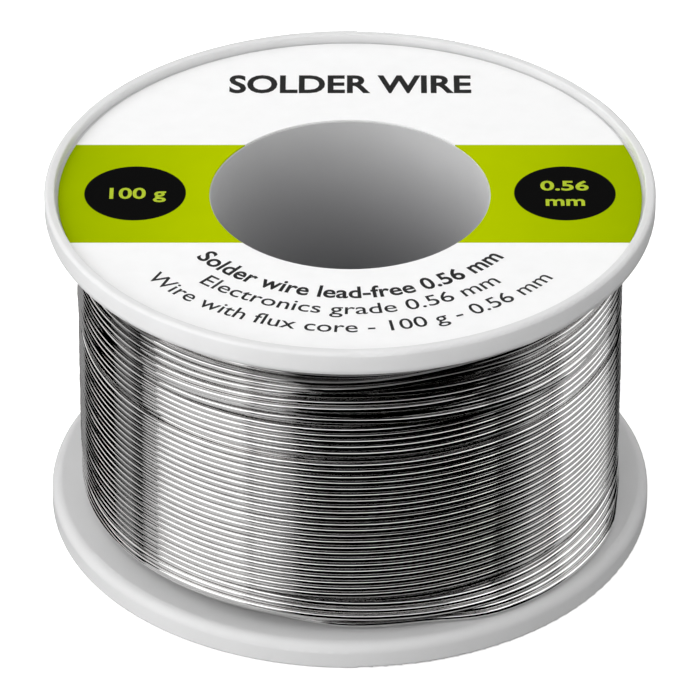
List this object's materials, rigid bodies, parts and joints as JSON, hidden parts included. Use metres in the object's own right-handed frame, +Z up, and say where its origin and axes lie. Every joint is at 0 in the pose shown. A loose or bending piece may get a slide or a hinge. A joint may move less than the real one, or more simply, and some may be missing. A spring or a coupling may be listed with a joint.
{
  "type": "solder wire spool",
  "caption": "Flanged plastic spool with a wide spindle bore and label recesses, wound with fine flux-cored solder wire.",
  "frame": {"origin": "centre of the lower rim plane, on the bore axis", "axes": "+Z up along the bore axis; +Y towards the back, where the loose end of the wire lies; -Y towards the front of the label"},
  "size_m": [0.053, 0.053, 0.0325],
  "materials": {
    "spool_plastic": "satin injection-moulded polystyrene",
    "label_film": "printed self-adhesive film, satin",
    "solder": "bright drawn tin alloy",
    "flux": "amber rosin"
  },
  "bodies": {
    "root": {"lower_spool_half": "spool_plastic", "upper_spool_half": "spool_plastic", "top_label": "label_film", "bottom_label": "label_film", "solder_start_tail": "solder", "solder_free_end": "solder", "flux_core": "flux", "solder_layer_01": "solder", "solder_layer_02": "solder", "solder_layer_03": "solder", "solder_layer_04": "solder", "solder_layer_05": "solder", "solder_layer_06": "solder", "solder_layer_07": "solder", "solder_layer_08": "solder", "solder_layer_09": "solder", "solder_layer_10": "solder"}
  },
  "joints": []
}
